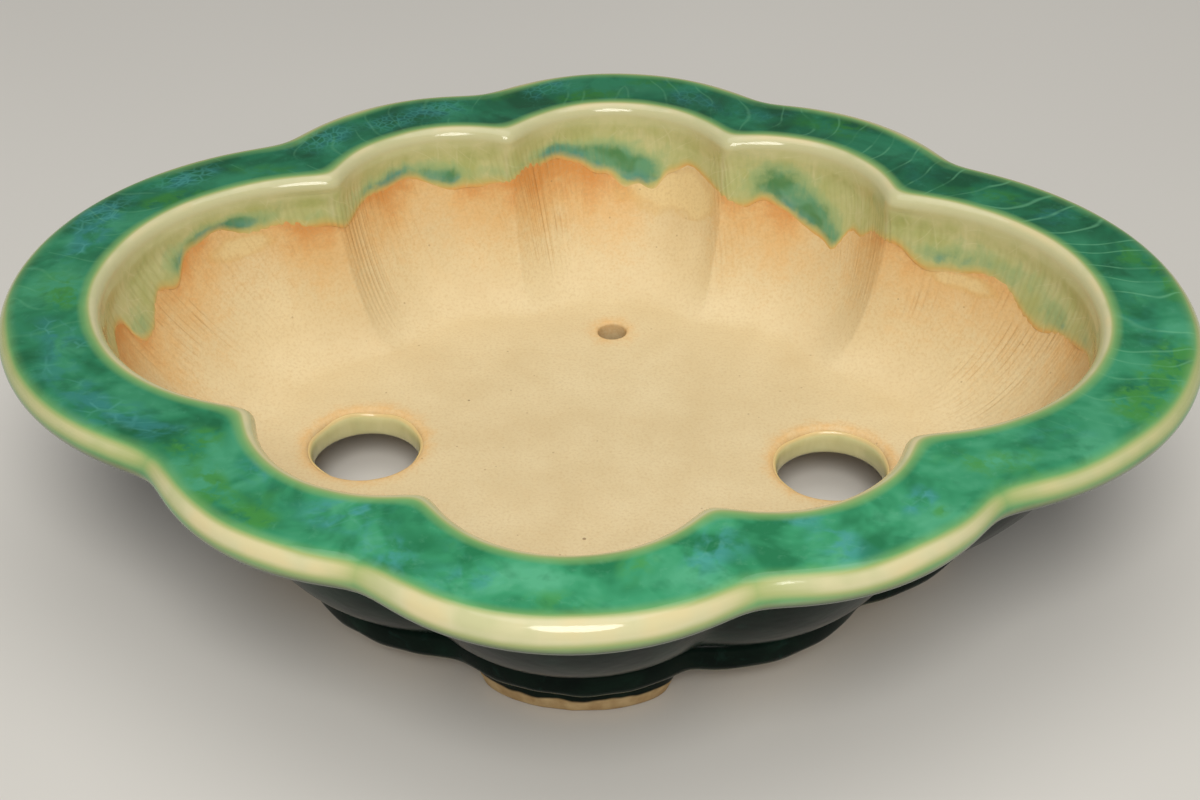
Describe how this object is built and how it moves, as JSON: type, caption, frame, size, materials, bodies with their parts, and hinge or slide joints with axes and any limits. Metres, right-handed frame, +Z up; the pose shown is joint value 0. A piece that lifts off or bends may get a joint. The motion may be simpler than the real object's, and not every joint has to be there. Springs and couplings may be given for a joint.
{
  "type": "bonsai pot",
  "caption": "Shallow glazed bonsai pot with a lobed oval bowl, a wide flat rim, drain and wire holes in the floor, and low feet.",
  "frame": {"origin": "middle of the pot's footprint on the surface that it stands on", "axes": "+X along the pot's length, to the right in the picture; +Y to the far side; +Z up"},
  "size_m": [0.22, 0.1844, 0.052],
  "materials": {
    "clay": "buff unglazed stoneware, combed on the inside of the wall",
    "green_glaze": "glossy mottled green glaze with fine crackle, breaking cream on the edges",
    "outer_glaze": "glossy deep green glaze",
    "pale_glaze": "thin pale celadon glaze"
  },
  "bodies": {
    "root": {"floor_slab": "clay", "wall": "clay", "rim_flange": "clay", "foot_right": "clay", "foot_back": "clay", "foot_left": "clay", "foot_front": "clay", "rim_glaze": "green_glaze", "outer_glaze": "outer_glaze", "drain_glaze_left": "pale_glaze", "drain_glaze_right": "pale_glaze"}
  },
  "joints": []
}
